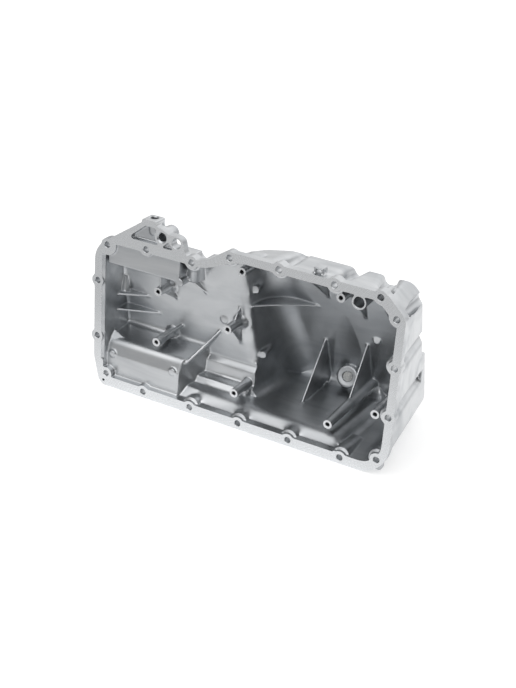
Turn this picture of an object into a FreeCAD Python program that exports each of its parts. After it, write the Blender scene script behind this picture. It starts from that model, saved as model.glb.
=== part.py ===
import FreeCAD, Part
import math
import os

# Engine oil pan, die-cast in one piece of aluminium, with its drain plug and the plug's sealing washer.
# It stands on the long edge of its rail, with the open side towards -Y. X runs along the pan from the
# shallow end to the deep end, Y from the sealing face into the pan, Z up. All lengths are in mm.
# Places are measured from the middle bolt hole of the lower rail, on the sealing face.

Vec = FreeCAD.Vector

# Sealing rail: how far it reaches, and how wide it is on each side
rail_thickness = 9.5
left_reach = 185.6
right_reach = 172.2
top_height = 189.8
lower_edge = 7.0
left_rail = 12.3
right_rail = 8.5
top_rail = 8.8
lower_rail = 11.8
notch_drop = 18.2
ledge_drop = 25.5

# Rail bolts, M6
bolt_pitch = 60.0
bolt_hole_radius = 3.3
bolt_boss_radius = 7.3
corner_boss_radius = 11.5
bolt_seat_depth = 11.5

# Casting walls, and their draft as slopes
wall = 4.0
floor_wall = 4.5
side_draft = 0.114
top_draft = 0.12
inner_draft = 0.08
left_draft = 0.0875

# Shallow chamber; its floor leans and is measured at one height
shallow_depth = 43.5
shallow_height = 90.0
shallow_lean = 0.17
floor_round = 8.0
platform_front = 7.0
platform_top = 30.0
platform_slope = 5.5
platform_end = -80.0
tread_height = 46.0
stair_foot = 20.0

# Ledge under the ear, and the block beside it
ledge_front = 3.0
ledge_thickness = 24.8
ledge_end = -81.5
block_left = -74.0
block_right = -69.0

# Deep sump; its floor leans too
deep_depth = 104.0
deep_height = 81.7
deep_lean = 0.434
sump_bottom = 13.2
bottom_draft = 0.03
step_place = -9.6
step_round = 30.0
step_edge_round = 9.0
corner_round = 9.0
end_round = 24.0
fall_start = 17.4
fall_slope = 0.22
bay_start = 107.0
bay_bottom = 4.2
bay_slope = 0.8
bay_edge_round = 14.0

# Screw pillars for the baffle plate, M5
pillar_front = 14.0
pillar_radius = 4.9
pillar_draft = 0.012
pillar_flare = 3.5
pillar_hole_radius = 2.2
pillar_hole_depth = 18.0
pillar_left = -113.6
pillar_star = -26.6
pillar_middle = -14.2
pillar_right = 97.2
pillar_end = 147.3

# Ribs, fins, pads and the pipe boss
rib = 2.6
fin = 2.2
low_fin = 44.5
high_fin = 95.6
pad_radius = 4.3
pad_rise = 1.6
ring_place = 122.3
ring_radius = 7.7
ring_hole_radius = 5.6
ring_hole_depth = 22.0

# Ear for the gearbox
ear_rise = 10.9
ear_boss_depth = 18.0
ear_boss_left = -127.0
ear_boss_right = -109.5
ear_pocket_depth = 6.0
ear_column_radius = 7.0
ear_screw_radius = 4.0
gearbox_hole_radius = 5.3
dowel_hole_radius = 4.5
dowel_boss_radius = 8.5
dowel_boss_depth = 22.0

# Clearance for the bolt heads along the outer walls
valley_radius = 7.0
valley_shoulder = 6.0
valley_wall = 3.4

# Cable clip lug on the top wall
lug_place = 75.0
lug_width = 10.0
lug_rise = 6.2
lug_front = 4.0
lug_back = 16.0

# Drain, with a shallow arched channel that leads to it
drain_x = 71.3
drain_back = 11.9
drain_z = 29.2
drain_tilt = 20.0
drain_length = 31.0
drain_face_radius = 11.5
drain_boss_radius = 12.8
drain_recess_radius = 9.7
drain_recess = 0.5
channel_radius = 60.0
channel_depth = 4.0
channel_length = 99.0
channel_x = 71.0
channel_z = 21.8
plug_radius = 5.6
plug_short = 1.2
plug_tip_radius = 3.8
plug_hex = 9.8
plug_flange_radius = 10.8
plug_flange = 2.5
plug_head_height = 7.0
washer_thickness = 2.0
washer_radius = 10.2

# Places that follow from the sizes above
inner_left = left_reach - left_rail
inner_right = right_reach - right_rail
inner_top = top_height - top_rail
inner_lower = lower_rail - lower_edge
notch_height = top_height - notch_drop
ledge_top = top_height - ledge_drop
ledge_bottom = ledge_top - ledge_thickness
ear_top = top_height + ear_rise

FRONT = Vec(0, -1, 0)
INWARD = Vec(0, 1, 0)
UP = Vec(0, 0, 1)
RIGHT = Vec(1, 0, 0)


def rounded(corners, place):
    # A closed outline through corner points (u, v, radius), each corner rounded by an arc.
    count = len(corners)
    starts = []
    ends = []
    middles = []
    for i in range(count):
        u, v, radius = corners[i]
        here = Vec(u, v, 0)
        before = Vec(corners[i - 1][0], corners[i - 1][1], 0)
        after = Vec(corners[(i + 1) % count][0], corners[(i + 1) % count][1], 0)
        back = (before - here).normalize()
        ahead = (after - here).normalize()
        half = back.getAngle(ahead) / 2
        if radius <= 0:
            starts.append(here)
            ends.append(here)
            middles.append(None)
            continue
        run = radius / math.tan(half)
        centre = here + (back + ahead).normalize() * (radius / math.sin(half))
        starts.append(here + back * run)
        ends.append(here + ahead * run)
        middles.append(centre + (here - centre).normalize() * radius)
    edges = []
    for i in range(count):
        if middles[i] is not None:
            edges.append(Part.Arc(place(starts[i]), place(middles[i]), place(ends[i])).toShape())
        following = starts[(i + 1) % count]
        if (following - ends[i]).Length > 1e-6:
            edges.append(Part.LineSegment(place(ends[i]), place(following)).toShape())
    return Part.Wire(edges)


def front_plate(corners, start, end):
    # A plate seen from the front, (x, z, radius), from depth start to depth end.
    outline = rounded(corners, lambda p: Vec(p.x, start, p.y))
    return Part.Face(outline).extrude(INWARD * (end - start))


def side_profile(corners, left, right, skin=0.0):
    # A section seen from the side, (y, z, radius), drawn along X and grown by skin all round.
    outline = rounded(corners, lambda p: Vec(left, p.x, p.y))
    face = Part.Face(outline)
    if skin > 0:
        face = face.makeOffset2D(skin)
    return face.extrude(RIGHT * (right - left))


def rod(radius, x, start, z, length):
    # A cylinder along the depth of the pan.
    return Part.makeCylinder(radius, length, Vec(x, start, z), INWARD)


def beyond(plane):
    # Everything on the far side of a plane, which is a point and an outward normal.
    size = 1500.0
    block = Part.makeBox(size, size, size, Vec(-size / 2, -size / 2, 0))
    block.Placement = FreeCAD.Placement(plane[0], FreeCAD.Rotation(UP, plane[1]))
    return block


def pushed(plane, distance):
    point, normal = plane
    return (point + Vec(normal).normalize() * distance, normal)


def turned(plane):
    return (plane[0], plane[1] * -1)


def wedge(first, second, radius):
    # The space inside two planes, with the edge between them rounded.
    size = 700.0
    n1 = Vec(first[1]).normalize()
    n2 = Vec(second[1]).normalize()
    line = n1.cross(n2).normalize()
    cosine = n1.dot(n2)
    d1 = first[0].dot(n1)
    d2 = second[0].dot(n2)
    share = 1 - cosine * cosine
    corner = n1 * ((d1 - cosine * d2) / share) + n2 * ((d2 - cosine * d1) / share)
    start = corner + line * (Vec(drain_x, shallow_depth, shallow_height).dot(line) - size / 2)
    side1 = line.cross(n1)
    if side1.dot(n2) > 0:
        side1 = side1 * -1
    side2 = line.cross(n2)
    if side2.dot(n1) > 0:
        side2 = side2 * -1
    upward = (side2 - side1 * side1.dot(side2)).normalize()
    run = size * side1.dot(side2)
    rise = size * upward.dot(side2)
    corners = [(0, 0, radius), (size, 0, 0), (size + run, rise, 0), (run, rise, 0)]
    outline = rounded(corners, lambda p: start + side1 * p.x + upward * p.y)
    return Part.Face(outline).extrude(line * size)


def sliver(first, second, radius):
    # What rounding takes off the edge of a wedge.
    return wedge(first, second, 0).cut(wedge(first, second, radius))


def web(points, thickness):
    # A flat plate through the points, half its thickness to each side.
    corners = [Vec(*p) for p in points]
    face = Part.Face(Part.makePolygon(corners + [corners[0]]))
    normal = face.normalAt(0, 0)
    face.translate(normal * (-thickness / 2))
    return face.extrude(normal * thickness)


def upright(x, side, thickness):
    # A plate across the pan at one x, its outline (y, z).
    return web([(x, y, z) for y, z in side], thickness)


def joined(shapes):
    return shapes[0].multiFuse(shapes[1:])


def shallow_floor(z):
    return shallow_depth + shallow_lean * (shallow_height - z)


def deep_floor(z):
    return deep_depth + deep_lean * (deep_height - z)


# Bolt holes of the rail, each tied to the edge it sits on
lower_bolts = [(bolt_pitch * i, 0.0) for i in range(-2, 3)]
corner_bolts = [(-inner_left + 4.0, inner_lower + 3.1), (inner_right - 3.9, inner_lower + 6.4)]
right_bolts = [(right_reach - 5.7, 61.5), (right_reach - 5.7, 115.8)]
high_right_bolt = (right_reach - 9.7, top_height - 23.0)
top_bolts = [(34.1, top_height - 4.9), (95.0, top_height - 4.9), (right_reach - 28.4, top_height - 4.9)]
slope_bolts = [(-21.8, top_height - 6.5), (-65.9, notch_height - 4.8)]
ear_bolts = [(-121.3, ledge_top + 3.3), (-inner_left + 3.2, ledge_top - 3.3)]
left_bolts = [(-left_reach + 3.9, 117.3), (-left_reach + 3.9, 51.4)]
rail_bolts = (lower_bolts + corner_bolts + right_bolts + [high_right_bolt] + top_bolts
              + slope_bolts + ear_bolts + left_bolts)

# Other places on the ear and the rail
dowel_hole = (-102.3, top_height - 4.6)
gearbox_hole = (-84.5, top_height - 6.8)
ear_screw = (-118.5, 10.5)
ring_height = inner_top - 7.0

# Pillars: x, z and the depth they run back to
pillars = [
    (pillar_left, 116.7, shallow_floor(116.7) + 2), (pillar_left, 56.9, shallow_floor(56.9) + 2),
    (pillar_star, 97.0, shallow_floor(97.0) + 2), (pillar_middle, ledge_top + 1.1, deep_floor(165) + 4),
    (pillar_middle, 25.5, shallow_depth + 26), (pillar_right, ledge_top + 2.6, deep_floor(167) + 4),
    (pillar_right, 24.6, deep_floor(24.6) + 2), (pillar_end, 52.8, deep_depth - 24)]

# The planes of the inner walls
step_plane = (Vec(step_place, 48, 61), Vec(-1, 0.1, -0.099))
deep_plane = (Vec(0, deep_depth, deep_height), Vec(0, 1, deep_lean))
shallow_plane = (Vec(0, shallow_depth, shallow_height), Vec(0, 1, shallow_lean))
left_plane = (Vec(-inner_left, 0, 60), Vec(-1, -left_draft, 0))
low_plane = (Vec(0, 0, bay_bottom), Vec(0, -0.01, -1))
platform_side = (Vec(platform_end, platform_front, 20), Vec(1, -0.3, 0))
front_plane = (Vec(0, 0, 0), FRONT)
bay_end = (Vec(bay_start, 0, sump_bottom), Vec(-1, 0.02, -bay_slope))
lane_plane = (Vec(0, rail_thickness, inner_lower), Vec(0, sump_bottom - inner_lower, rail_thickness - stair_foot))


def rail_outline():
    right = right_reach
    left = -left_reach
    top = top_height
    return [
        (left, 26, 18), (left + 6.6, 5.5 - lower_edge, 6), (left + 12.6, -lower_edge, 6),
        (right, -lower_edge, 34), (right, top - 22.3, 5), (right - 4.4, top - 18, 4), (right - 23.2, top, 3),
        (-25, top, 9), (-52.5, notch_height, 24), (-73, notch_height, 8), (-78, top + 0.7, 8),
        (-96, top + 0.9, 4), (-102, top + 4.8, 5), (ear_boss_right, top + 6.4, 1.5),
        (ear_boss_right, ear_top, 1.2), (ear_boss_left, ear_top, 1.2), (ear_boss_left, ear_top - 3.7, 1.2),
        (left, ledge_top - 8.2, 30)]


def rail_opening(extra=0.0):
    # The inner edge of the rail; extra moves it outwards into the walls.
    left = -inner_left - extra
    right = inner_right + extra
    low = inner_lower - extra
    top = inner_top + extra
    return [
        (left, low, 12), (right, low - 1.2, 22), (right, inner_top - 24, 6), (right - 16.2, top - 3, 6),
        (right - 26.7 - extra, top, 8), (-8, top, 6), (-24, top - 5.5, 6), (-48, ledge_top + 1.5 + extra, 12),
        (-57, ledge_top + extra, 8), (left, ledge_top + extra, 9)]


def rail_bosses():
    bosses = [rod(bolt_boss_radius, x, 0, z, bolt_seat_depth) for x, z in rail_bolts]
    x, z = ear_bolts[1]
    inside = front_plate(rail_outline(), 0, ledge_front + 2)
    bosses.append(rod(corner_boss_radius, x, 0, z, ledge_front + 2).common(inside))
    return bosses


def deep_planes(skin):
    # Step, floor, bottom, right end, corner, top and falling top of the sump; skin moves them out.
    outside = skin > 0
    right_x = right_reach if outside else inner_right
    top_z = top_height if outside else inner_top
    draft = side_draft if outside else inner_draft
    step = pushed(step_plane, skin)
    floor = pushed(deep_plane, floor_wall if outside else 0.0)
    bottom = (Vec(0, 20, sump_bottom - skin), Vec(0, -bottom_draft, -1))
    right = (Vec(right_x, 0, 100), Vec(1, draft, 0))
    corner = (Vec(right_x - 7, 0, top_z - 14), Vec(0.69, draft, 0.72))
    top = (Vec(100, 0, top_z), Vec(0, draft, 1))
    return step, floor, bottom, right, corner, top


def falling_top(skin):
    # The top wall falls towards the shallow end, to the left of fall_start.
    height = top_height - wall + skin
    return (Vec(fall_start, 0, height), Vec(-fall_slope, top_draft, 1))


def deep_space(skin):
    step, floor, bottom, right, corner, top = deep_planes(skin)
    fall = falling_top(skin)
    shapes = [
        wedge(step, floor, step_round + skin), wedge(floor, right, 12.0 + skin),
        wedge(top, floor, corner_round + skin + 3), wedge(bottom, floor, corner_round + skin),
        wedge(corner, right, 6.0 + skin), wedge(corner, top, 4.0 + skin), wedge(step, bottom, 15.0 + skin),
        wedge(pushed(low_plane, skin), right, end_round + skin), wedge(fall, floor, corner_round + skin + 3)]
    body = shapes[0]
    for shape in shapes[1:]:
        body = body.common(shape)
    return body.cut(beyond(pushed(front_plane, 10)))


def shallow_space(skin):
    # The shallow chamber with its platform, the stepped wall beside it and the lane before the sump.
    high = top_height + 40
    foot = inner_lower - 0.6
    slope_y = platform_front + platform_slope
    left_side = [
        (-8, inner_lower, 0), (platform_front, inner_lower, 2.5), (platform_front, platform_top, 5),
        (slope_y, tread_height, 9), (shallow_floor(52) + 1, tread_height + 6, 8),
        (shallow_floor(high), high, 0), (-8, high, 0)]
    stairs = [
        (-8, foot, 0), (rail_thickness, foot + 0.2, 2), (stair_foot, sump_bottom, 5),
        (stair_foot + 11, sump_bottom + 1.2, 3), (stair_foot + 14.5, sump_bottom + 8, 3),
        (shallow_depth + 2, sump_bottom + 9.6, 3.5), (shallow_depth + 3.5, sump_bottom + 24, 4.5),
        (shallow_floor(43), sump_bottom + 30, 4), (shallow_floor(high), high, 0), (-8, high, 0)]
    lane = [
        (-8, foot, 0), (rail_thickness, foot + 0.2, 2), (stair_foot, sump_bottom, 5),
        (stair_foot + 20, sump_bottom + 0.6, 0), (stair_foot + 20, 60, 0), (-8, 60, 0)]
    left = side_profile(left_side, -inner_left - 20, 0, skin)
    left = left.common(wedge(pushed(left_plane, skin), pushed(shallow_plane, skin), floor_round + skin))
    middle = side_profile(stairs, platform_end - 5 - skin, 4, skin)
    middle = middle.cut(beyond(turned(pushed(platform_side, -skin))))
    right = side_profile(lane, -10, bay_start + 6, skin)
    return [left, middle, right]


def bay_space(skin):
    # The low bay at the right end, in front of the sump's bottom.
    step, floor, bottom, right, corner, top = deep_planes(skin)
    low = pushed(low_plane, skin)
    end = pushed(bay_end, skin)
    bay = wedge(low, floor, corner_round + skin).common(wedge(low, right, end_round + skin))
    bay = bay.common(wedge(low, end, 12.0 + skin))
    bay = bay.cut(beyond((Vec(0, 0, shallow_height), UP)))
    return bay.cut(beyond(pushed(front_plane, 8)))


def pan_space(skin):
    window = front_plate(rail_opening(skin), -8, deep_depth * 2)
    shallow = joined(shallow_space(skin)).common(window)
    return joined([deep_space(skin), shallow, bay_space(skin)])


def step_edge(skin, radius):
    # The edge where the shallow floor turns into the step wall: what rounding takes off the inside,
    # and with a skin what it adds behind the wall.
    first = turned(pushed(shallow_plane, floor_wall if skin > 0 else 0.0))
    second = turned(pushed(step_plane, skin))
    low = tread_height + 4
    high = inner_top - 8
    reach = front_plate([(-60, low, 0), (40, low, 0), (40, high, 0), (-60, high, 0)], stair_foot, deep_depth)
    return sliver(first, second, radius).common(reach)


def bay_edges():
    # What rounding takes off the edges where the lane and the sump's bottom turn down into the bay.
    low = bay_bottom - 3
    lane = sliver(turned(bay_end), turned(lane_plane), bay_edge_round)
    lane = lane.common(Part.makeBox(40, 16, 13, Vec(bay_start - 20, rail_thickness - 1, low)))
    bottom = sliver(turned(bay_end), (Vec(0, 20, sump_bottom), Vec(0, bottom_draft, 1)), bay_edge_round)
    bottom = bottom.common(Part.makeBox(26, deep_depth - 10, 16, Vec(bay_start - 3, stair_foot, low)))
    return [lane, bottom]


def bell(surface, opening, depth, grown):
    # A valley's section at one depth: a round bottom between two round shoulders, open outwards.
    # With grown it is the section of the wall that wraps round the valley.
    across = opening.cross(INWARD)
    reach = valley_radius + valley_shoulder
    half = math.sqrt(depth * (2 * reach - depth))
    centre = Vec(0, valley_radius - depth, 0)
    lid = 14.0
    corners = [Vec(half, lid, 0)]
    arcs = []
    for side in (1, -1):
        shoulder = Vec(half * side, -valley_shoulder, 0)
        toward = (shoulder - centre).normalize()
        meet = centre + toward * (valley_radius + grown)
        edge = Vec(half * side, -grown, 0)
        turn = ((meet - shoulder).normalize() + Vec(0, 1, 0)).normalize()
        arcs.append((meet, shoulder + turn * (valley_shoulder - grown), edge))

    def at(p):
        return surface + across * p.x + opening * p.y

    bottom = centre - Vec(0, valley_radius + grown, 0)
    right, left = arcs
    return Part.Wire([
        Part.Arc(at(left[0]), at(bottom), at(right[0])).toShape(),
        Part.Arc(at(right[0]), at(right[1]), at(right[2])).toShape(),
        Part.LineSegment(at(right[2]), at(corners[0])).toShape(),
        Part.LineSegment(at(corners[0]), at(Vec(-half, lid, 0))).toShape(),
        Part.LineSegment(at(Vec(-half, lid, 0)), at(left[2])).toShape(),
        Part.Arc(at(left[2]), at(left[1]), at(left[0])).toShape()])


def valley(bolt, opening, lean, end, end_depth, grown):
    # The hollow along an outer wall behind one bolt, or with grown the wall that wraps round it.
    x, z = bolt
    across = opening.cross(INWARD)
    edge = top_height if opening.z > 0.5 else right_reach
    draft = top_draft if opening.z > 0.5 else side_draft
    gap = edge - Vec(x, 0, z).dot(opening)
    first_depth = gap + valley_radius
    start = bolt_seat_depth if grown == 0 else 3.0
    sections = []
    for y in (start, end):
        depth = first_depth + (end_depth - first_depth) * y / end
        surface = Vec(x, y, z) + opening * (gap - y * draft) + across * (lean * (y - rail_thickness))
        sections.append(bell(surface, opening, depth, grown))
    return Part.makeLoft(sections, True, True)


def scallops(grown):
    # Hollows for the bolt heads all along the outer walls, and with grown the wall round them.
    radius = valley_radius + grown
    start = bolt_seat_depth if grown == 0 else 3.0
    shapes = [valley(top_bolts[0], UP, 0.0, 80, 1.2, grown), valley(top_bolts[1], UP, 0.0, 80, 11.9, grown),
              valley(top_bolts[2], UP, 0.28, 80, 12.3, grown)]
    shapes += [valley(bolt, RIGHT, 0.0, 106, 5.6, grown) for bolt in right_bolts]
    hollows = [(bolt, 40, Vec(0, 1, -0.1)) for bolt in lower_bolts[1:] + corner_bolts[1:]]
    hollows += [(bolt, 45, Vec(0, 1, 0.05)) for bolt in slope_bolts]
    for (x, z), length, axis in hollows:
        shapes.append(Part.makeCylinder(radius, length, Vec(x, start, z), axis))
    x, z = high_right_bolt
    shapes.append(Part.makeCone(radius, radius - 2, 75, Vec(x, start, z), INWARD))
    if grown == 0:
        for x, z in ear_bolts + lower_bolts[:1] + corner_bolts[:1]:
            shapes.append(rod(valley_radius, x, start, z, 60))
        for x, z in left_bolts:
            shapes.append(rod(valley_radius - 1, x, start, z, 60))
    return shapes


def pillar_shapes():
    shapes = []
    for x, z, back in pillars:
        length = back - pillar_front
        wide = pillar_radius + pillar_draft * length
        shapes.append(Part.makeCone(pillar_radius, wide, length, Vec(x, pillar_front, z), INWARD))
    for x, z, back in pillars[:3]:
        foot = back - 2 - pillar_flare * 1.6
        shapes.append(Part.makeCone(pillar_radius, pillar_radius + pillar_flare + 1.5, pillar_flare * 2,
                                    Vec(x, foot, z), INWARD))
    return shapes


def fins():
    # Two upright fins on the sump's floor and the long one across the shallow chamber.
    back = deep_depth + 28
    low = sump_bottom - 1
    return [
        upright(low_fin, [(61.5, low), (deep_floor(72.5) + 1.8, 72.5), (back, 60), (back, low)], fin),
        upright(high_fin, [(64, low + 10), (deep_floor(83) + 1.8, 83), (back, 60), (back, low - 2)], fin),
        web([(-76.3, pillar_front, 41.2), (-49.5, shallow_floor(80.2) + 2, 80.2),
             (-49.5, shallow_floor(80.2) + 8, 80.2), (-76.3, shallow_floor(80.2) + 8, 41.2)], 3.0)]


def pillar_ribs():
    floor = shallow_depth + 2.5
    roof = inner_top + 5
    foot = pillars[0][2]
    return [
        upright(pillar_left, [(18, 116), (18, ledge_bottom + 1), (foot, ledge_bottom + 1), (foot, 116)], rib),
        web([(-112, 22, 114), (-105, shallow_floor(100) + 0.7, 100), (-105, foot + 2, 100),
             (-112, foot + 2, 114)], rib),
        web([(-111, 15.5, 60), (-99, shallow_floor(70.2) + 1.3, 70.2), (-99, foot + 9, 70.2),
             (-111, foot + 9, 60)], rib),
        upright(pillar_star, [(27, 101), (40.5, 116.5), (floor, 116.5), (floor, 97), (27, 97)], rib),
        upright(pillar_star, [(23, 92.5), (47.5, 67.5), (floor + 6, 67.5), (floor + 6, 97), (23, 97)], rib),
        upright(pillar_middle, [(18, ledge_top), (18, roof), (72, roof), (72, ledge_top)], rib),
        upright(pillar_right, [(18, ledge_top + 3), (18, roof), (76, roof), (76, ledge_top + 3)], rib),
        upright(pillar_right - 0.6, [(36, inner_top - 18), (deep_floor(105.8) + 7, 105.8),
                                     (deep_floor(104) + 14, 104), (80, roof - 8), (36, roof - 8)], rib),
        upright(54.5, [(14, inner_top - 1), (deep_floor(127) + 4, 127), (deep_floor(125) + 11, 125),
                       (76, roof - 4), (14, roof - 2)], rib),
        upright(139.0, [(12, inner_top - 1), (21, inner_top - 13), (35, inner_top - 27), (52, inner_top - 44),
                        (deep_floor(137) + 4, inner_top - 44), (deep_floor(137) + 4, roof - 4),
                        (12, roof - 4)], rib),
        web([(pillar_end - 1, 20, 52.8), (inner_right + 4, 20, 52.8), (inner_right + 4, deep_depth - 24, 52.8),
             (pillar_end - 1, deep_depth - 24, 52.8)], rib)]


def wall_ribs():
    # Flat ribs between the left wall and the floor, a small floor rib and the facet in the corner.
    shapes = []
    out = -inner_left - 4.7
    for z, end_x in ((95.6, -140.2), (77.2, -126.6)):
        low = z - rib / 2
        back = shallow_floor(z) + 7
        shapes.append(web([(out, 23, low), (end_x, shallow_floor(z), low), (end_x, back, low), (out, back, low)],
                          rib))
    shapes.append(web([(ledge_end, 27, 134), (-65, 39.2, 117.2), (-65, 46, 117.2), (ledge_end, 46, 134)], rib))
    left = -inner_left - 2.7
    corner = [Vec(left, 22, 55), Vec(left + 2, 12.5, 46), Vec(left + 22.5, 18.8, 46)]
    shapes.append(Part.Face(Part.makePolygon(corner + [corner[0]])).extrude(Vec(0, 8, -12)))
    shapes.append(Part.makeCone(5.0, 1.5, 18, Vec(-inner_left + 3.0, 37, 95), UP))
    return shapes


def shelf():
    # A thin shelf across the corner of step wall and sump floor, with a bowed front edge.
    level = 114.7
    left = Vec(step_place - 6.4, shallow_floor(level) + 3.8, level)
    right = Vec(46, deep_floor(level) + 1.2, level)
    bow = (left + right) / 2 + Vec(-0.6, 0.8, 0) * 3.0
    back = deep_depth
    edges = [Part.Arc(left, bow, right).toShape(),
             Part.LineSegment(right, Vec(46, back, level)).toShape(),
             Part.LineSegment(Vec(46, back, level), Vec(-30, back, level)).toShape(),
             Part.LineSegment(Vec(-30, back, level), Vec(-30, left.y, level)).toShape(),
             Part.LineSegment(Vec(-30, left.y, level), left).toShape()]
    return Part.Face(Part.Wire(edges)).extrude(UP * rib)


def ledge():
    # The thick ledge under the ear with its drafted end, and the rounded block beside it.
    back = shallow_depth + 18
    side = [(ledge_front, ledge_bottom, 2.0), (ledge_front, ledge_top + 12, 0), (back, ledge_top + 12, 0),
            (back, ledge_bottom - 13, 0)]
    bar = side_profile(side, -inner_left + 3.1, ledge_end + 6)
    bar = bar.cut(beyond((Vec(ledge_end, ledge_front, ledge_bottom), Vec(1, -0.08, 0))))
    top = Vec(slope_bolts[1][0] - 0.6, 9.5, ledge_top)
    foot = Vec(block_left + 0.5, 21.5, ledge_bottom + 3.5)
    run = (top - foot).Length
    column = Part.makeCone(7.5, 8.5, run + 8, foot, top - foot)
    low = ledge_bottom - 3
    profile = [(pillar_front + 6, low, 4), (back, low - 3, 0), (back, ledge_top + 12, 0),
               (pillar_front + 6, ledge_top + 12, 0)]
    return [bar, column, Part.makeSphere(7.5, foot), side_profile(profile, block_left, block_right)]


def pads():
    # Round ejector pads that stand just proud of the skin: x, z, the depth of the face, and a length.
    places = [
        (-87.4, 31.7, platform_front - pad_rise, 15), (-inner_left + 7.9, 30.7, platform_front - pad_rise, 15),
        (ledge_end + 0.7, ledge_bottom, ledge_front, 42), (-46.7, 92.2, shallow_floor(92.2) - pad_rise, 6),
        (107.5, 90.0, deep_floor(90.0) - pad_rise - 0.6, 7)]
    studs = [(step_place - 4.7, 134.2, 47), (step_place + 5.4, 57.3, 55)]
    shapes = [rod(pad_radius, x, front, z, length) for x, z, front, length in places]
    for x, z, front in studs:
        shapes.append(Part.makeCylinder(pad_radius, 25, Vec(x, front, z), Vec(-0.2, 1, 0)))
    return shapes


drain_axis = Vec(0, math.cos(math.radians(drain_tilt)), -math.sin(math.radians(drain_tilt)))
drain_face = Vec(drain_x, deep_depth + drain_back, drain_z)
drain_seat = drain_face + drain_axis * drain_length


def drain_boss():
    # The boss of the drain hole, right through the corner of the sump, with a bevelled inner end.
    bevel = drain_boss_radius - drain_face_radius
    rim = Part.makeCone(drain_face_radius, drain_boss_radius, bevel, drain_face, drain_axis)
    body = Part.makeCylinder(drain_boss_radius, drain_length - bevel, drain_face + drain_axis * bevel, drain_axis)
    recess = Part.makeCylinder(drain_recess_radius, drain_recess + 1, drain_face - drain_axis, drain_axis)
    return rim.fuse(body).cut(recess)


def channel(skin):
    # The arched channel down the sump's floor to the drain, and with a skin its wall outside.
    inward = Vec(0, 1, deep_lean).normalize()
    upward = Vec(0, -deep_lean, 1).normalize()
    tilt = (upward - inward * (channel_depth / channel_length)).normalize()
    foot = Vec(channel_x, deep_floor(channel_z), channel_z)
    centre = foot + inward * (channel_depth - channel_radius)
    tube = Part.makeCylinder(channel_radius + skin, channel_length + 20, centre, tilt)
    tube = tube.fuse(Part.makeSphere(channel_radius + skin, centre))
    return tube.common(beyond(pushed(deep_plane, skin - 0.5)))


def ear_bosses():
    # The solid boss on top of the ear, the boss of the dowel and the boss of the ear's bolt.
    x, z = ear_bolts[0]
    return [
        front_plate([(ear_boss_left, inner_top - 5, 3), (ear_boss_right, inner_top - 5, 3),
                     (ear_boss_right, ear_top, 1.2), (ear_boss_left, ear_top, 1.2)], 0, ear_boss_depth),
        rod(dowel_boss_radius, dowel_hole[0], 0, dowel_hole[1], dowel_boss_depth),
        rod(bolt_boss_radius + 0.7, x, 0, z, bolt_seat_depth)]


def ear_pockets():
    # Three-cornered pockets in the ear's face and in the rail's lower left corner.
    low = ledge_top + 11.5
    high = ear_top - 6.8
    pocket = front_plate([(-144.5, low, 2.5), (ear_boss_right + 3, low, 2), (ear_boss_right - 0.5, high, 2),
                          (-122.5, high, 2)], -1, ear_pocket_depth)
    pocket = pocket.cut(rod(dowel_boss_radius, dowel_hole[0], -2, dowel_hole[1], 30))
    slot = front_plate([(-102.5, low - 1.3, 1), (-87.5, low - 1.3, 1), (-94, low + 6.5, 1)],
                       -1, ear_pocket_depth - 2)
    left = -left_reach
    hook = front_plate([(left + 10.8, 0.5, 0.7), (left + 16.4, 0.5, 0.7), (left + 12.4, -4.4, 0.7)],
                       -1, ear_pocket_depth)
    return [pocket, slot, hook]


def ear_column():
    # The upright boss inside the ear's pocket, with a round foot.
    x = ear_screw[0] + 2
    y = ear_screw[1]
    foot = ear_top - 13.2
    column = Part.makeCylinder(ear_column_radius, ear_top - 4 - foot, Vec(x, y, foot), UP)
    return [column, Part.makeSphere(ear_column_radius, Vec(x, y, foot))]


def lugs():
    # The cable clip's lug on the top wall and a small lug behind the rail's lower right corner.
    clip = Part.makeBox(lug_width, lug_back - lug_front, lug_rise + 12,
                        Vec(lug_place - lug_width / 2, lug_front, top_height - 12))
    foot = Part.makeBox(12, 10.5, 10, Vec(inner_right - 13.7, rail_thickness, 0.8 - lower_edge))
    return [clip, foot]


def clip_slot():
    low = top_height + 0.2
    high = top_height + lug_rise - 1.6
    half = lug_width / 2 - 1.8
    return front_plate([(lug_place - half, low, 1.8), (lug_place + half, low, 1.8),
                        (lug_place + half, high, 1.8), (lug_place - half, high, 1.8)], -1, lug_back + 4)


def left_bevel():
    # The bevelled inner edge of the left rail.
    edge = -inner_left - 3.3
    points = [Vec(edge, -0.1, 24), Vec(edge + 6, -0.1, 24), Vec(edge + 6, 6, 24)]
    return Part.Face(Part.makePolygon(points + [points[0]])).extrude(UP * (ledge_bottom - 12))


def holes():
    shapes = [rod(bolt_hole_radius, x, -1, z, 30) for x, z in rail_bolts]
    shapes += [rod(pillar_hole_radius, x, pillar_front - 1, z, pillar_hole_depth + 1) for x, z, back in pillars]
    shapes.append(rod(ring_hole_radius, ring_place, -1, ring_height, ring_hole_depth + 1))
    shapes.append(rod(gearbox_hole_radius, gearbox_hole[0], -1, gearbox_hole[1], 30))
    shapes.append(rod(dowel_hole_radius, dowel_hole[0], -1, dowel_hole[1], dowel_boss_depth - 3))
    shapes.append(Part.makeCone(dowel_hole_radius + 1.5, dowel_hole_radius, 1.5,
                                Vec(dowel_hole[0], 0, dowel_hole[1]), INWARD))
    shapes.append(Part.makeCylinder(ear_screw_radius, 30, Vec(ear_screw[0], ear_screw[1], ear_top - 14), UP))
    shapes.append(Part.makeCylinder(drain_boss_radius + 1, 40, drain_seat, drain_axis))
    shapes.append(Part.makeCylinder(plug_radius, drain_length + 20, drain_face - drain_axis * 10, drain_axis))
    return shapes


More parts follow.
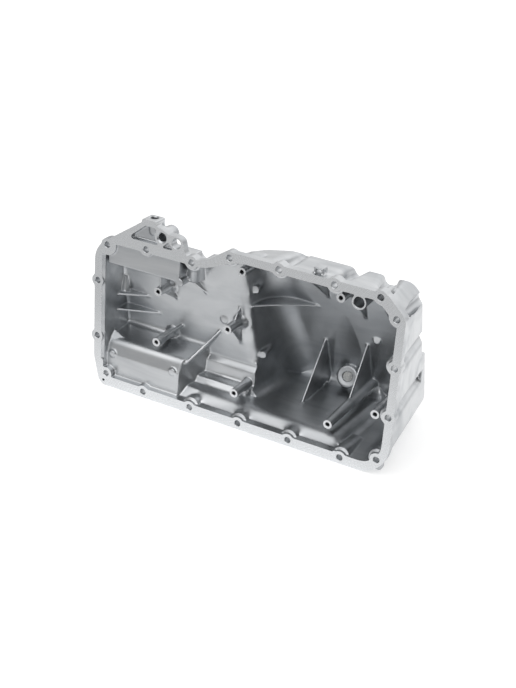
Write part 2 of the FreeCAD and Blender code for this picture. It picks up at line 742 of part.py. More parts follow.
def pan_casting():
    front = beyond(front_plane)
    outer = pan_space(wall).cut(front)
    plate = front_plate(rail_outline(), 0, rail_thickness)
    space = joined([pan_space(0.0), channel(0.0)])
    envelope = joined([outer, plate, drain_boss(), channel(floor_wall)] + lugs() + ear_bosses())
    body = envelope.cut(space)
    features = joined(scallops(valley_wall) + pillar_shapes() + fins() + pillar_ribs() + wall_ribs()
                      + [shelf(), rod(ring_radius, ring_place, 0, ring_height, deep_depth)]
                      + ledge() + pads() + [drain_boss()])
    body = joined([body, features.common(envelope), step_edge(wall, step_edge_round - wall)])
    body = body.cut(joined([step_edge(0.0, step_edge_round), left_bevel(), clip_slot()] + ear_pockets()
                    + bay_edges()))
    body = body.cut(joined(scallops(0)))
    body = joined([body] + rail_bosses() + ear_column())
    return body.cut(joined(holes()))


def drain_plug():
    shank_length = drain_length - drain_recess - plug_short + washer_thickness
    under = drain_seat + drain_axis * washer_thickness
    start = under - drain_axis * shank_length
    shank = Part.makeCylinder(plug_radius, shank_length, start, drain_axis)
    tip = Part.makeCylinder(plug_tip_radius, 2.0, start, drain_axis)
    groove = Part.makeCylinder(plug_radius + 1, 1.0, start, drain_axis).cut(tip)
    flange = Part.makeCylinder(plug_flange_radius, plug_flange, under, drain_axis)
    corners = [Vec(plug_hex * math.cos(math.radians(60 * i)), plug_hex * math.sin(math.radians(60 * i)), 0)
               for i in range(7)]
    head = Part.Face(Part.makePolygon(corners)).extrude(UP * plug_head_height)
    head = head.common(Part.makeCone(plug_hex + 5, plug_hex - 1, plug_head_height))
    head.Placement = FreeCAD.Placement(under, FreeCAD.Rotation(UP, drain_axis))
    return joined([shank.cut(groove), flange, head]).removeSplitter()


def plug_washer():
    ring = Part.makeCylinder(washer_radius, washer_thickness, drain_seat, drain_axis)
    return ring.cut(Part.makeCylinder(plug_radius, 10, drain_seat - drain_axis * 2, drain_axis))


def main():
    pieces = {"pan_casting": pan_casting(), "drain_plug": drain_plug(), "plug_washer": plug_washer()}
    box = FreeCAD.BoundBox()
    for piece in pieces.values():
        box.add(piece.optimalBoundingBox(True, False))
    shift = Vec(-(box.XMin + box.XMax) / 2, -(box.YMin + box.YMax) / 2, -box.ZMin)
    os.makedirs("parts", exist_ok=True)
    for name, piece in pieces.items():
        print(name, piece.isValid(), len(piece.Solids), round(piece.Volume, 1))
        piece.translate(shift)
        piece.exportStep("parts/" + name + ".step")
    print(shift, box)


main()
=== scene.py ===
import math
import bmesh
import bpy
import numpy as np
from mathutils import Matrix, Vector


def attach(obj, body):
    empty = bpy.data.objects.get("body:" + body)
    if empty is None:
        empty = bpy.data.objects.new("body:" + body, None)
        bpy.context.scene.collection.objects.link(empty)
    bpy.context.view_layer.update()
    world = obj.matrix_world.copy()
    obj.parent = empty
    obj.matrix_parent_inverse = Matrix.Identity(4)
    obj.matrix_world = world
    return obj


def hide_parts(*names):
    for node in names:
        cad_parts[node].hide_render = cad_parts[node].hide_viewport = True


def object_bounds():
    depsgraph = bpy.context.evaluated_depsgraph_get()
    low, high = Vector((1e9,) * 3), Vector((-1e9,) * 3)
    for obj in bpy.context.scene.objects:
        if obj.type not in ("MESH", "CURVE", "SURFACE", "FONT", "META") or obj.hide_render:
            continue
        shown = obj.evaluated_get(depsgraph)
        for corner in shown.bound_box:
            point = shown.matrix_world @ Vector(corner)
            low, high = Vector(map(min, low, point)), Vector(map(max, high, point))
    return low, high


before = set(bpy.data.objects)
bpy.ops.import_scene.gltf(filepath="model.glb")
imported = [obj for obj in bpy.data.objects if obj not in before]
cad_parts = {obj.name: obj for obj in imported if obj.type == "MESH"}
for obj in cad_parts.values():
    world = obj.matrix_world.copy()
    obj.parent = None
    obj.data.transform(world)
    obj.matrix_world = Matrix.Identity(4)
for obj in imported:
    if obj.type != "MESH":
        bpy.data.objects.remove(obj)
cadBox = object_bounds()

print("frame loaded:", sorted(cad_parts))

mm = 0.001

# Places are measured from the middle bolt hole of the lower rail, on the sealing face. This is where the hole
# lies from the low corner of the pan's box, in metres.
boltFromCorner = (0.1890, 0.0, 0.0073)
lowCorner = [float(v) for v in cadBox[0]]
boltHole = np.array(lowCorner) + np.array(boltFromCorner)
faceY = lowCorner[1]


def fromBolt(points):
    # Places in millimetres from the middle bolt hole, in metres in the frame
    return boltHole + np.array(points) * mm


def newObject(name, data):
    piece = bpy.data.objects.new(name, data)
    bpy.context.scene.collection.objects.link(piece)
    return piece


def linearColour(hexText):
    # sRGB hex to linear light: c / 12.92 below 0.04045, else ((c + 0.055) / 1.055) ^ 2.4
    values = [int(hexText[i:i + 2], 16) / 255 for i in (0, 2, 4)]
    return tuple(c / 12.92 if c <= 0.04045 else ((c + 0.055) / 1.055) ** 2.4 for c in values) + (1.0,)


def patternScale(sizeMm):
    # The scale at which a noise has one feature for this size in millimetres
    return 1000 / sizeMm


def addNode(tree, kind, inputs=None, **settings):
    # Adds a node, gives it its settings, and sets or links its inputs
    node = tree.nodes.new(kind)
    for name, value in settings.items():
        setattr(node, name, value)
    for key, value in (inputs or {}).items():
        if isinstance(value, bpy.types.NodeSocket):
            tree.links.new(value, node.inputs[key])
        else:
            node.inputs[key].default_value = value
    return node


def newMaterial(name):
    material = bpy.data.materials.new(name)
    material.use_nodes = True
    material.node_tree.nodes.clear()
    return material, material.node_tree


# Azimuth, elevation and roll in degrees, focal length in pixels of a picture 516 wide and 688 high, and the
# place in millimetres from the middle bolt hole
cameraPlan = {"azimuth": 26.97, "elevation": 25.87, "roll": 4.28, "focalPixels": 1216.6, "pictureHeight": 688,
              "sensorMm": 36.0, "clipping": (0.05, 20.0), "place": (523.5, -994.1, 639.9)}


def addCamera(plan):
    # The camera looks along minus "back". "right" is level and "upright" is square to both before the roll
    # turns them about that line.
    az, el, roll = (math.radians(plan[k]) for k in ("azimuth", "elevation", "roll"))
    back = np.array([math.sin(az) * math.cos(el), -math.cos(az) * math.cos(el), math.sin(el)])
    level = np.array([math.cos(az), math.sin(az), 0.0])
    upright = np.cross(back, level)
    right = math.cos(roll) * level + math.sin(roll) * upright
    up = math.cos(roll) * upright - math.sin(roll) * level
    data = bpy.data.cameras.new("camera")
    data.sensor_fit = "AUTO"
    data.sensor_width = plan["sensorMm"]
    data.lens = plan["focalPixels"] / plan["pictureHeight"] * plan["sensorMm"]
    data.clip_start, data.clip_end = plan["clipping"]
    matrix = np.eye(4)
    matrix[:3] = np.stack([right, up, back, fromBolt(plan["place"])], axis=1)
    camera = newObject("camera", data)
    camera.matrix_world = Matrix(matrix.tolist())
    bpy.context.scene.camera = camera


addCamera(cameraPlan)
bpy.context.scene.view_settings.view_transform = "Standard"
print("camera placed")

# The casting's skin. The CAD casting has sharp edges, and a die-cast one has none: every edge and root that
# the die forms is round, and only milled and drilled edges are crisp. So a copy of the CAD mesh is made
# without its holes and with stock left on its milled faces. It is remeshed and smoothed, and then it is
# milled and drilled.
skinPlan = {"railFaceMm": 0.0, "pillarFaceMm": 14.0, "stockMm": 4.0, "voxelMm": 0.8, "smoothing": 11,
            "smoothingFactor": 0.5, "triangles": 175000, "softDegrees": 32, "largestHoleMm": 6.3,
            "pillarHoleMm": 3.0, "plugMarginMm": 0.4, "chamferMm": 0.45, "spotMm": 6.6, "clearMm": 1.0,
            "overrunMm": 0.6, "millingMarginMm": 20.0, "ringSteps": 40}

# How the CAD mesh is read: how near corners are one, which way a milled face looks and how level it is, how
# round a hole's loop is and how many corners it has, and how a hole's side, end and countersink are told
readingPlan = {"mergeMm": 0.001, "outward": -0.999, "levelMm": 0.02, "roundMm": 0.1, "fewestCorners": 8,
               "reachMm": 40.0, "sideMm": 0.03, "endMm": 0.01, "countersinkMm": 1.0}

# Closes one opening at the foot of a wall, and two places where the wall behind a bolt's hollow runs out:
# boxes by their low and high corners, and a piece of the round corner, all from the middle bolt hole in mm
thickening = {"boxes": [((-12.5, 36.0, 11.5), (-7.6, 43.5, 22.0)), ((112.0, 40.0, 0.0), (128.0, 53.0, 3.7))],
              "corner": {"centre": (136.0, 27.8), "radii": (24.0, 27.6), "angles": (-75, -12), "steps": 12,
                         "depths": (40.0, 54.0)}}

# Where the real skin turns softly it is smoothed further: boxes by their low and high corners and a weight.
# Spheres, by centre and radius, and bands in height keep their form. All are from the middle bolt hole in mm.
softPlaces = {"boxes": [((-58, 12, 5), (110, 34, 16.5), 1.0), ((-23, 34, 50), (4, 60, 164), 1.0),
                        ((-46, 14, 14), (-23, 48, 50), 0.25)],
              "kept": [((-26.6, 42, 97), 13), ((-14.3, 47, 134.2), 7), ((-4.2, 55, 57.3), 7)],
              "bands": [(110.5, 120)], "border": 3.0, "levels": 10, "smoothing": 240}


def mergedCopy(node, name):
    # A CAD mesh is loose triangles, so the corners of its copy are joined first
    mesh = bmesh.new()
    mesh.from_mesh(node.data)
    bmesh.ops.remove_doubles(mesh, verts=mesh.verts, dist=readingPlan["mergeMm"] * mm)
    data = bpy.data.meshes.new(name)
    mesh.to_mesh(data)
    return mesh, data


def placesOf(data):
    # The corners of a mesh as an array of points
    places = np.empty(len(data.vertices) * 3)
    data.vertices.foreach_get("co", places)
    return places.reshape(-1, 3)


def facesAt(mesh, y):
    # The flat faces that look out of the pan at one depth
    near = readingPlan["levelMm"] * mm
    outward = [f for f in mesh.faces if f.normal.y < readingPlan["outward"]]
    return [f for f in outward if all(abs(v.co.y - y) < near for v in f.verts)]


def ringsOf(faces):
    # The closed loops of edges round a set of faces, each as an array of its corners
    inside = set(faces)
    edges = {edge for face in faces for edge in face.edges}
    border = [e for e in edges if sum(f in inside for f in e.link_faces) == 1]
    ahead = {}
    for edge in border:
        for vert in edge.verts:
            ahead.setdefault(vert, []).append(edge)
    left = set(border)
    rings = []
    while left:
        edge = left.pop()
        start, here = edge.verts
        ring = [start.co[:], here.co[:]]
        while here is not start:
            edge = next((e for e in ahead[here] if e in left), None)
            if edge is None:
                break
            left.discard(edge)
            here = edge.other_vert(here)
            ring.append(here.co[:])
        rings.append(np.array(ring[:-1]))
    return rings


def drilledHoles(mesh, points, y, largest):
    # Each round loop in a milled face is a hole. Its centre is the middle of the loop's extent, its radius
    # the mean distance from there, and its end the deepest point of the mesh at that radius. Where that end
    # is shallow the hole is countersunk, and its bore is the deepest part inside the mouth.
    plan = readingPlan
    side = plan["sideMm"] * mm
    holes = []
    for ring in ringsOf(facesAt(mesh, y)):
        around = ring[:, [0, 2]]
        centre = (around.min(axis=0) + around.max(axis=0)) / 2
        spread = np.hypot(*(around - centre).T)
        mouth = spread.mean()
        if mouth > largest or np.ptp(spread) > plan["roundMm"] * mm or len(ring) < plan["fewestCorners"]:
            continue
        reach = np.hypot(*(points[:, [0, 2]] - centre).T)
        behind = (points[:, 1] > y - plan["roundMm"] * mm) & (points[:, 1] < y + plan["reachMm"] * mm)
        depth = points[behind & (abs(reach - mouth) < side), 1].max()
        radius = mouth
        if depth < y + plan["countersinkMm"] * mm:
            inside = behind & (reach < mouth + side) & (reach > mouth / 2)
            depth = points[inside, 1].max()
            radius = reach[inside & (points[:, 1] > depth - plan["endMm"] * mm)].mean()
        holes.append({"x": centre[0], "z": centre[1], "radius": radius, "mouth": mouth, "start": y,
                      "end": depth})
    return holes


def ringQuads(rows, around):
    # Faces between following rings of corners: corner c of ring r is number r x around + c
    corner = np.arange(around)
    following = (corner + 1) % around
    base = around * np.arange(rows - 1)[:, None]
    ahead = base + around
    return np.stack([base + corner, base + following, ahead + following, ahead + corner], -1).reshape(-1, 4)


def turnedShape(profile, x, z, steps):
    # A closed shape turned about a line along Y: at angle t and profile point (r, y) it is
    # (x + r cos t, y, z + r sin t). The profile starts and ends on the line.
    radius, depth = np.array(profile).T
    angle = np.linspace(0, 2 * np.pi, steps, endpoint=False)
    inner = slice(1, -1)
    ringX = x + radius[inner, None] * np.cos(angle)
    ringZ = z + radius[inner, None] * np.sin(angle)
    ringY = np.broadcast_to(depth[inner, None], ringX.shape)
    verts = np.stack([ringX, ringY, ringZ], axis=-1).reshape(-1, 3)
    poles = np.array([[x, depth[0], z], [x, depth[-1], z]])
    first = len(verts)
    last = first - steps
    column = np.arange(steps)
    following = (column + 1) % steps
    faces = ringQuads(len(profile) - 2, steps).tolist()
    faces += np.stack([np.full(steps, first), following, column], 1).tolist()
    faces += np.stack([np.full(steps, first + 1), last + column, last + following], 1).tolist()
    return np.concatenate([verts, poles]), faces


def boxShape(low, high):
    # Corner number 4 i + 2 j + k is at the low or high end of x, y and z as i, j and k are 0 or 1
    corners = [(x, y, z) for x in (low[0], high[0]) for y in (low[1], high[1]) for z in (low[2], high[2])]
    faces = [(0, 1, 3, 2), (4, 6, 7, 5), (0, 4, 5, 1), (2, 3, 7, 6), (0, 2, 6, 4), (1, 5, 7, 3)]
    return np.array(corners), faces


def arcBlock(plan):
    # Part of a pipe along Y: at angle a and radius r it is (x + r cos a, y, z + r sin a)
    angle = np.radians(np.linspace(*plan["angles"], plan["steps"]))
    inner, outer = plan["radii"]
    front, back = plan["depths"]
    radius = np.array([inner, outer, outer, inner])
    depth = np.array([front, front, back, back])
    x = plan["centre"][0] + np.outer(np.cos(angle), radius)
    z = plan["centre"][1] + np.outer(np.sin(angle), radius)
    verts = np.stack([x, np.broadcast_to(depth, x.shape), z], axis=-1).reshape(-1, 3)
    ends = [list(range(4)), list(range(len(verts) - 1, len(verts) - 5, -1))]
    return fromBolt(verts), ends + ringQuads(plan["steps"], 4).tolist()


def meshOf(name, shapes):
    # One mesh of several closed shapes, with its normals turned outwards
    points = np.concatenate([corners for corners, faces in shapes])
    firsts = np.cumsum([0] + [len(corners) for corners, faces in shapes])
    loops = []
    for first, (corners, faces) in zip(firsts.tolist(), shapes):
        loops += [[first + i for i in face] for face in faces]
    data = bpy.data.meshes.new(name)
    data.from_pydata(points.tolist(), [], loops)
    mesh = bmesh.new()
    mesh.from_mesh(data)
    bmesh.ops.recalc_face_normals(mesh, faces=mesh.faces)
    mesh.to_mesh(data)
    mesh.free()
    return data


def joinInto(piece, other):
    # Adds another object's mesh to a piece's own
    mesh = bmesh.new()
    mesh.from_mesh(piece.data)
    mesh.from_mesh(other.data)
    mesh.to_mesh(piece.data)
    mesh.free()
    bpy.data.objects.remove(other)


def modify(piece, kind, **settings):
    # Adds a modifier and puts its result into the piece's own mesh
    step = piece.modifiers.new(kind.lower(), kind)
    for name, value in settings.items():
        setattr(step, name, value)
    result = bpy.data.meshes.new_from_object(piece.evaluated_get(bpy.context.evaluated_depsgraph_get()))
    piece.modifiers.clear()
    old = piece.data
    piece.data = result
    bpy.data.meshes.remove(old)


def addStock(mesh, y, stock):
    # Pulls the milled faces forward, straight out of the pan
    moved = bmesh.ops.extrude_face_region(mesh, geom=facesAt(mesh, y))
    verts = [g for g in moved["geom"] if isinstance(g, bmesh.types.BMVert)]
    bmesh.ops.translate(mesh, verts=verts, vec=(0, -stock, 0))


def plugAndDrill(hole, spotFaced):
    # The plug fills a hole from the face of the stock to the hole's end. The drill is the same hole with a
    # chamfer at 45 degrees, and a spot-faced one also cuts a flat round the hole down through the stock.
    plan = skinPlan
    radius, mouth, start, end = (hole[k] for k in ("radius", "mouth", "start", "end"))
    chamfer = max(plan["chamferMm"] * mm, mouth - radius)
    stockFace = start - plan["stockMm"] * mm
    wide = mouth + plan["plugMarginMm"] * mm
    plug = [(0, stockFace), (wide, stockFace), (wide, end), (0, end)]
    if spotFaced:
        spot = plan["spotMm"] * mm
        top = stockFace - plan["clearMm"] * mm
        entry = [(0, top), (spot, top), (spot, start), (radius + chamfer, start)]
    else:
        top = start - 2 * chamfer
        entry = [(0, top), (radius + 3 * chamfer, top)]
    bottom = end + plan["overrunMm"] * mm
    drill = entry + [(radius, start + chamfer), (radius, bottom), (0, bottom)]
    return [turnedShape(profile, hole["x"], hole["z"], plan["ringSteps"]) for profile in (plug, drill)]


def smoothFurther(piece):
    # A vertex's weight is 1 inside a box and falls to 0 over the border outside it
    plan = softPlaces
    places = (placesOf(piece.data) - boltHole) / mm
    weight = np.zeros(len(places))
    for low, high, share in plan["boxes"]:
        outside = np.maximum(np.array(low) - places, places - np.array(high)).clip(0).max(axis=1)
        weight = np.maximum(weight, share * (1 - outside / plan["border"]).clip(0, 1))
    for centre, radius in plan["kept"]:
        away = np.linalg.norm(places - centre, axis=1) - radius
        weight *= (away / plan["border"]).clip(0, 1)
    for low, high in plan["bands"]:
        away = np.maximum(low - places[:, 2], places[:, 2] - high)
        weight *= (away / plan["border"]).clip(0, 1)
    group = piece.vertex_groups.new(name="soft")
    for level in range(1, plan["levels"] + 1):
        chosen = np.flatnonzero(np.ceil(weight * plan["levels"]) == level)
        group.add(chosen.tolist(), level / plan["levels"], "REPLACE")
    modify(piece, "SMOOTH", factor=skinPlan["smoothingFactor"], iterations=plan["smoothing"],
           vertex_group="soft")
    piece.vertex_groups.clear()


def softCasting():
    plan = skinPlan
    railY = faceY + plan["railFaceMm"] * mm
    pillarY = faceY + plan["pillarFaceMm"] * mm
    blank, data = mergedCopy(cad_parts["pan_casting"], "pan_skin")
    points = placesOf(data)
    railHoles = drilledHoles(blank, points, railY, plan["largestHoleMm"] * mm)
    pillarHoles = drilledHoles(blank, points, pillarY, plan["pillarHoleMm"] * mm)
    print("holes in the rail:", len(railHoles), "in the pillars:", len(pillarHoles))
    for y in (railY, pillarY):
        addStock(blank, y, plan["stockMm"] * mm)
    blank.to_mesh(data)
    blank.free()
    piece = newObject("pan_skin", data)

    tools = [plugAndDrill(hole, spotFaced=False) for hole in railHoles]
    tools += [plugAndDrill(hole, spotFaced=True) for hole in pillarHoles]
    stoppers = [plug for plug, drill in tools]
    stoppers += [boxShape(*fromBolt(corners)) for corners in thickening["boxes"]]
    stoppers.append(arcBlock(thickening["corner"]))
    joinInto(piece, newObject("stoppers", meshOf("stoppers", stoppers)))

    modify(piece, "REMESH", mode="VOXEL", voxel_size=plan["voxelMm"] * mm, adaptivity=0.0)
    modify(piece, "SMOOTH", factor=plan["smoothingFactor"], iterations=plan["smoothing"])
    smoothFurther(piece)
    ratio = plan["triangles"] / (2 * len(piece.data.polygons))
    modify(piece, "DECIMATE", decimate_type="COLLAPSE", ratio=ratio)
    print("skin smoothed:", len(piece.data.polygons))

    low, high = (np.array(c) for c in cadBox)
    margin = plan["millingMarginMm"] * mm
    millingBlock = boxShape(low - margin, (high[0] + margin, railY, high[2] + margin))
    for name, shapes in (("milling", [millingBlock]), ("drilling", [drill for plug, drill in tools])):
        cutter = newObject(name, meshOf(name, shapes))
        modify(piece, "BOOLEAN", operation="DIFFERENCE", object=cutter, solver="EXACT")
        bpy.data.objects.remove(cutter)
    modify(piece, "TRIANGULATE")
    print("skin milled and drilled:", len(piece.data.polygons))
    return piece


def shadeSoft(piece, degrees):
    # Smooth shading, with an edge kept crisp where its two faces turn by more than this
    piece.data.polygons.foreach_set("use_smooth", np.ones(len(piece.data.polygons), dtype=bool))
    piece.data.set_sharp_from_angle(angle=math.radians(degrees))


# Aluminium silicon alloy, pressure die-cast in a polished steel die: a satin grey skin with a fine grain, a
# faint orange peel and long flow marks that run away from the gate. Its sealing face and the pillars' ends
# are face-milled, brighter, with arcs of tool marks. The real grain is a few tenths of a millimetre and the
# real marks are 0.2 mm apart, and both are drawn coarser to show.
castLook = {"skin": "c9cbcd", "stain": "b4b7ba", "milled": "dcdee0", "stainEnds": (0.42, 0.68),
            "skinRoughness": 0.33, "skinSpread": (-0.05, 0.07), "roughEnds": (0.3, 0.7),
            "milledRoughness": 0.25, "milledSpread": (-0.02, 0.03), "outward": -0.999,
            "railMarginMm": 0.3, "pillarMarginMm": 0.2, "grainMm": 1.1, "grainBump": 0.16,
            "markMm": 3.2, "markBump": 0.012, "markWander": 0.6, "grainDepthMm": 0.2,
            "peelMm": 5.0, "peelBump": 0.1, "milledPeelBump": 0.01, "peelDepthMm": 0.3,
            "flowMm": 34.0, "flowStretch": 0.3, "flowWander": 0.8, "toolCentre": (0.12, 0.0, -0.35)}

# A wave of rings at a scale of 1 has this spacing in millimetres: 2 pi / 20 of a metre
ringSpacingMm = 314


def castAluminium():
    look = castLook
    material, tree = newMaterial("die_cast_aluminium")
    place = addNode(tree, "ShaderNodeTexCoord").outputs["Object"]
    along = addNode(tree, "ShaderNodeMapping", {"Vector": place, "Scale": (look["flowStretch"], 1.0, 1.0)})
    grain = addNode(tree, "ShaderNodeTexNoise", {"Vector": place, "Scale": patternScale(look["grainMm"]),
                                                 "Detail": 3.0})
    peel = addNode(tree, "ShaderNodeTexNoise", {"Vector": place, "Scale": patternScale(look["peelMm"]),
                                                "Detail": 1.0})
    flow = addNode(tree, "ShaderNodeTexNoise", {"Vector": along.outputs[0],
                                                "Scale": patternScale(look["flowMm"]), "Detail": 5.0,
                                                "Distortion": look["flowWander"]}).outputs["Fac"]

    # Milled: faces that look straight out of the pan, at the depth of the rail or of the pillars
    depth = addNode(tree, "ShaderNodeSeparateXYZ", {"Vector": place}).outputs["Y"]
    facing = addNode(tree, "ShaderNodeNewGeometry").outputs["True Normal"]
    flat = addNode(tree, "ShaderNodeSeparateXYZ", {"Vector": facing}).outputs["Y"]
    outward = addNode(tree, "ShaderNodeMath", {0: flat, 1: look["outward"]}, operation="LESS_THAN")
    onRail = addNode(tree, "ShaderNodeMath", {0: depth, 1: faceY + look["railMarginMm"] * mm},
                     operation="LESS_THAN")
    onPillar = addNode(tree, "ShaderNodeMath", {0: depth, 1: faceY + skinPlan["pillarFaceMm"] * mm,
                                                2: look["pillarMarginMm"] * mm}, operation="COMPARE")
    either = addNode(tree, "ShaderNodeMath", {0: onRail.outputs[0], 1: onPillar.outputs[0]},
                     operation="MAXIMUM")
    milled = addNode(tree, "ShaderNodeMath", {0: either.outputs[0], 1: outward.outputs[0]},
                     operation="MULTIPLY").outputs[0]

    # Tool marks: rings about a line along Y
    turned = addNode(tree, "ShaderNodeMapping", {"Vector": place, "Location": look["toolCentre"]})
    marks = addNode(tree, "ShaderNodeTexWave", {"Vector": turned.outputs[0],
                                                "Scale": ringSpacingMm / look["markMm"],
                                                "Distortion": look["markWander"], "Detail": 2.0},
                    wave_type="RINGS", rings_direction="Y", wave_profile="SIN").outputs["Fac"]

    low, high = look["stainEnds"]
    stain = addNode(tree, "ShaderNodeMapRange", {"Value": flow, "From Min": low, "From Max": high})
    skin = addNode(tree, "ShaderNodeMix", {"Factor": stain.outputs[0], "A": linearColour(look["skin"]),
                                           "B": linearColour(look["stain"])}, data_type="RGBA")
    colour = addNode(tree, "ShaderNodeMix", {"Factor": milled, "A": skin.outputs["Result"],
                                             "B": linearColour(look["milled"])}, data_type="RGBA")

    low, high = look["roughEnds"]
    shade = addNode(tree, "ShaderNodeMapRange", {"Value": flow, "From Min": low, "From Max": high,
                                                 "To Min": look["skinRoughness"] + look["skinSpread"][0],
                                                 "To Max": look["skinRoughness"] + look["skinSpread"][1]})
    cutShade = addNode(tree, "ShaderNodeMapRange",
                       {"Value": marks, "To Min": look["milledRoughness"] + look["milledSpread"][0],
                        "To Max": look["milledRoughness"] + look["milledSpread"][1]})
    rough = addNode(tree, "ShaderNodeMix", {"Factor": milled, "A": shade.outputs[0],
                                            "B": cutShade.outputs[0]}, data_type="FLOAT")

    relief = addNode(tree, "ShaderNodeMix", {"Factor": milled, "A": grain.outputs["Fac"], "B": marks},
                     data_type="FLOAT")
    height = addNode(tree, "ShaderNodeMapRange", {"Value": milled, "To Min": look["grainBump"],
                                                  "To Max": look["markBump"]})
    fine = addNode(tree, "ShaderNodeBump", {"Height": relief.outputs["Result"], "Strength": height.outputs[0],
                                            "Distance": look["grainDepthMm"] * mm})
    wave = addNode(tree, "ShaderNodeMapRange", {"Value": milled, "To Min": look["peelBump"],
                                                "To Max": look["milledPeelBump"]})
    bump = addNode(tree, "ShaderNodeBump", {"Height": peel.outputs["Fac"], "Strength": wave.outputs[0],
                                            "Distance": look["peelDepthMm"] * mm,
                                            "Normal": fine.outputs["Normal"]})
    shader = addNode(tree, "ShaderNodeBsdfPrincipled", {"Base Color": colour.outputs["Result"],
                                                        "Metallic": 1.0,
                                                        "Roughness": rough.outputs["Result"],
                                                        "Normal": bump.outputs["Normal"]})
    addNode(tree, "ShaderNodeOutputMaterial", {"Surface": shader.outputs["BSDF"]})
    return material


# Steel screw plug, cold-headed and zinc plated: smooth, a little cloudy, faintly warm. The washer is soft
# aluminium, punched and tumbled, so it is matt and pale. The real grain of both is finer than a tenth of a
# millimetre and is drawn coarser to show.
plugLook = {"metal": "b7b8b6", "cloud": "a3a5a6", "roughness": 0.3, "cloudMm": 4.0, "grainMm": 0.7}
washerLook = {"metal": "d5d6d7", "cloud": "c3c5c7", "roughness": 0.42, "cloudMm": 3.0, "grainMm": 0.5}
cloudPlan = {"colourEnds": (0.4, 0.65), "roughEnds": (0.3, 0.7), "spread": (-0.05, 0.08), "grainBump": 0.1,
             "grainDepthMm": 0.1}


def smallMetal(name, look):
    # One metal, clouded in its colour and its gloss by the same noise
    plan = cloudPlan
    material, tree = newMaterial(name)
    place = addNode(tree, "ShaderNodeTexCoord").outputs["Object"]
    cloud = addNode(tree, "ShaderNodeTexNoise", {"Vector": place, "Scale": patternScale(look["cloudMm"]),
                                                 "Detail": 3.0}).outputs["Fac"]
    grain = addNode(tree, "ShaderNodeTexNoise", {"Vector": place, "Scale": patternScale(look["grainMm"]),
                                                 "Detail": 2.0})
    low, high = plan["colourEnds"]
    share = addNode(tree, "ShaderNodeMapRange", {"Value": cloud, "From Min": low, "From Max": high})
    colour = addNode(tree, "ShaderNodeMix", {"Factor": share.outputs[0], "A": linearColour(look["metal"]),
                                             "B": linearColour(look["cloud"])}, data_type="RGBA")
    low, high = plan["roughEnds"]
    rough = addNode(tree, "ShaderNodeMapRange", {"Value": cloud, "From Min": low, "From Max": high,
                                                 "To Min": look["roughness"] + plan["spread"][0],
                                                 "To Max": look["roughness"] + plan["spread"][1]})
    bump = addNode(tree, "ShaderNodeBump", {"Height": grain.outputs["Fac"], "Strength": plan["grainBump"],
                                            "Distance": plan["grainDepthMm"] * mm})
    shader = addNode(tree, "ShaderNodeBsdfPrincipled", {"Base Color": colour.outputs["Result"],
                                                        "Metallic": 1.0,
                                                        "Roughness": rough.outputs[0],
                                                        "Normal": bump.outputs["Normal"]})
    addNode(tree, "ShaderNodeOutputMaterial", {"Surface": shader.outputs["BSDF"]})
    return material


cast = castAluminium()
steel = smallMetal("zinc_plated_steel", plugLook)
tumbled = smallMetal("tumbled_aluminium", washerLook)
for name, material in (("pan_casting", cast), ("plug_washer", tumbled), ("drain_plug", steel)):
    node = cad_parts[name]
    node.data.materials.clear()
    node.data.materials.append(material)
print("materials made")

panSkin = softCasting()
shadeSoft(panSkin, skinPlan["softDegrees"])
panSkin.data.materials.clear()
panSkin.data.materials.append(cast)
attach(panSkin, "root")
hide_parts("pan_casting")

# Studio: a white table whose light falls off in front, under large softboxes that are drawn in the world.
# The table glows from near to far, in metres from the middle of the pan's base. Each softbox has a direction,
# a strength, and the cosines at which it ends and is full.
studioPlan = {"floorSize": 6.0, "floorColour": "e6e6e6", "cameraGlow": 0.5, "frontGlow": 0.5,
              "backGlow": 0.52, "glowEnds": (0.16, 0.4),
              "softboxes": [{"toward": (0.0, -0.6, 0.8), "strength": 1.65, "cosines": (0.55, 0.95)},
                            {"toward": (0.0, 0.9, 0.43), "strength": 1.2, "cosines": (0.55, 0.95)},
                            {"toward": (-0.93, -0.2, 0.31), "strength": 0.17, "cosines": (0.55, 0.95)}]}
white = (1.0, 1.0, 1.0, 1.0)


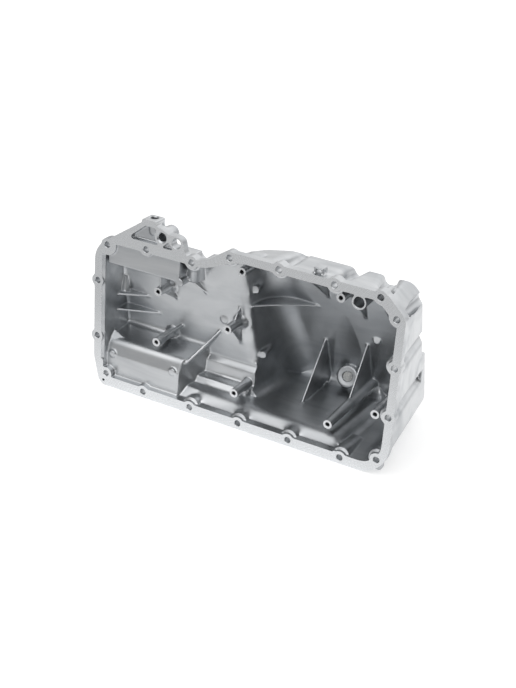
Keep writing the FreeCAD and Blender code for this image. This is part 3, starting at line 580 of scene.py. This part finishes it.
def addFloor():
    plan = studioPlan
    half = plan["floorSize"] / 2
    corners = [(-half, -half, 0), (half, -half, 0), (half, half, 0), (-half, half, 0)]
    mesh = bpy.data.meshes.new("floor")
    mesh.from_pydata(corners, [], [(0, 1, 2, 3)])
    floor = newObject("floor", mesh)
    material, tree = newMaterial("white_table")
    place = addNode(tree, "ShaderNodeNewGeometry").outputs["Position"]
    away = addNode(tree, "ShaderNodeVectorMath", {0: place, 1: (0.0, 0.0, 0.0)}, operation="DISTANCE")
    near, far = plan["glowEnds"]
    front = addNode(tree, "ShaderNodeMapRange", {"Value": away.outputs["Value"], "From Min": near,
                                                 "From Max": far, "To Min": plan["frontGlow"], "To Max": 0.0})
    parts = addNode(tree, "ShaderNodeSeparateXYZ", {"Vector": place})
    behind = addNode(tree, "ShaderNodeMath", {0: parts.outputs["Y"], 1: 0.0}, operation="GREATER_THAN")
    glow = addNode(tree, "ShaderNodeMix", {"Factor": behind.outputs[0], "A": front.outputs[0],
                                           "B": plan["backGlow"]}, data_type="FLOAT")
    paths = addNode(tree, "ShaderNodeLightPath")
    seen = addNode(tree, "ShaderNodeMix", {"Factor": paths.outputs["Is Camera Ray"],
                                           "A": glow.outputs["Result"],
                                           "B": plan["cameraGlow"]}, data_type="FLOAT")
    plain = addNode(tree, "ShaderNodeBsdfDiffuse", {"Color": linearColour(plan["floorColour"])})
    shine = addNode(tree, "ShaderNodeEmission", {"Color": white, "Strength": seen.outputs["Result"]})
    total = addNode(tree, "ShaderNodeAddShader", {0: plain.outputs[0], 1: shine.outputs[0]})
    addNode(tree, "ShaderNodeOutputMaterial", {"Surface": total.outputs[0]})
    mesh.materials.append(material)


def addWorld():
    # The light from a direction is the sum over the softboxes of strength times how far the cosine between
    # the two directions has come from its end to its full value. The camera sees plain white.
    world = bpy.data.worlds.new("studio")
    bpy.context.scene.world = world
    world.use_nodes = True
    tree = world.node_tree
    tree.nodes.clear()
    place = addNode(tree, "ShaderNodeTexCoord").outputs["Generated"]
    level = 0.0
    for box in studioPlan["softboxes"]:
        toward = Vector(box["toward"]).normalized()
        turn = addNode(tree, "ShaderNodeVectorMath", {0: place, 1: toward[:]}, operation="DOT_PRODUCT")
        edge, full = box["cosines"]
        light = addNode(tree, "ShaderNodeMapRange", {"Value": turn.outputs["Value"], "From Min": edge,
                                                     "From Max": full, "To Min": 0.0,
                                                     "To Max": box["strength"]})
        level = addNode(tree, "ShaderNodeMath", {0: level, 1: light.outputs[0]}, operation="ADD").outputs[0]
    paths = addNode(tree, "ShaderNodeLightPath")
    seen = addNode(tree, "ShaderNodeMix", {"Factor": paths.outputs["Is Camera Ray"], "A": level, "B": 1.0},
                   data_type="FLOAT")
    sky = addNode(tree, "ShaderNodeBackground", {"Color": white, "Strength": seen.outputs["Result"]})
    addNode(tree, "ShaderNodeOutputWorld", {"Surface": sky.outputs[0]})


addFloor()
addWorld()
print("studio set")
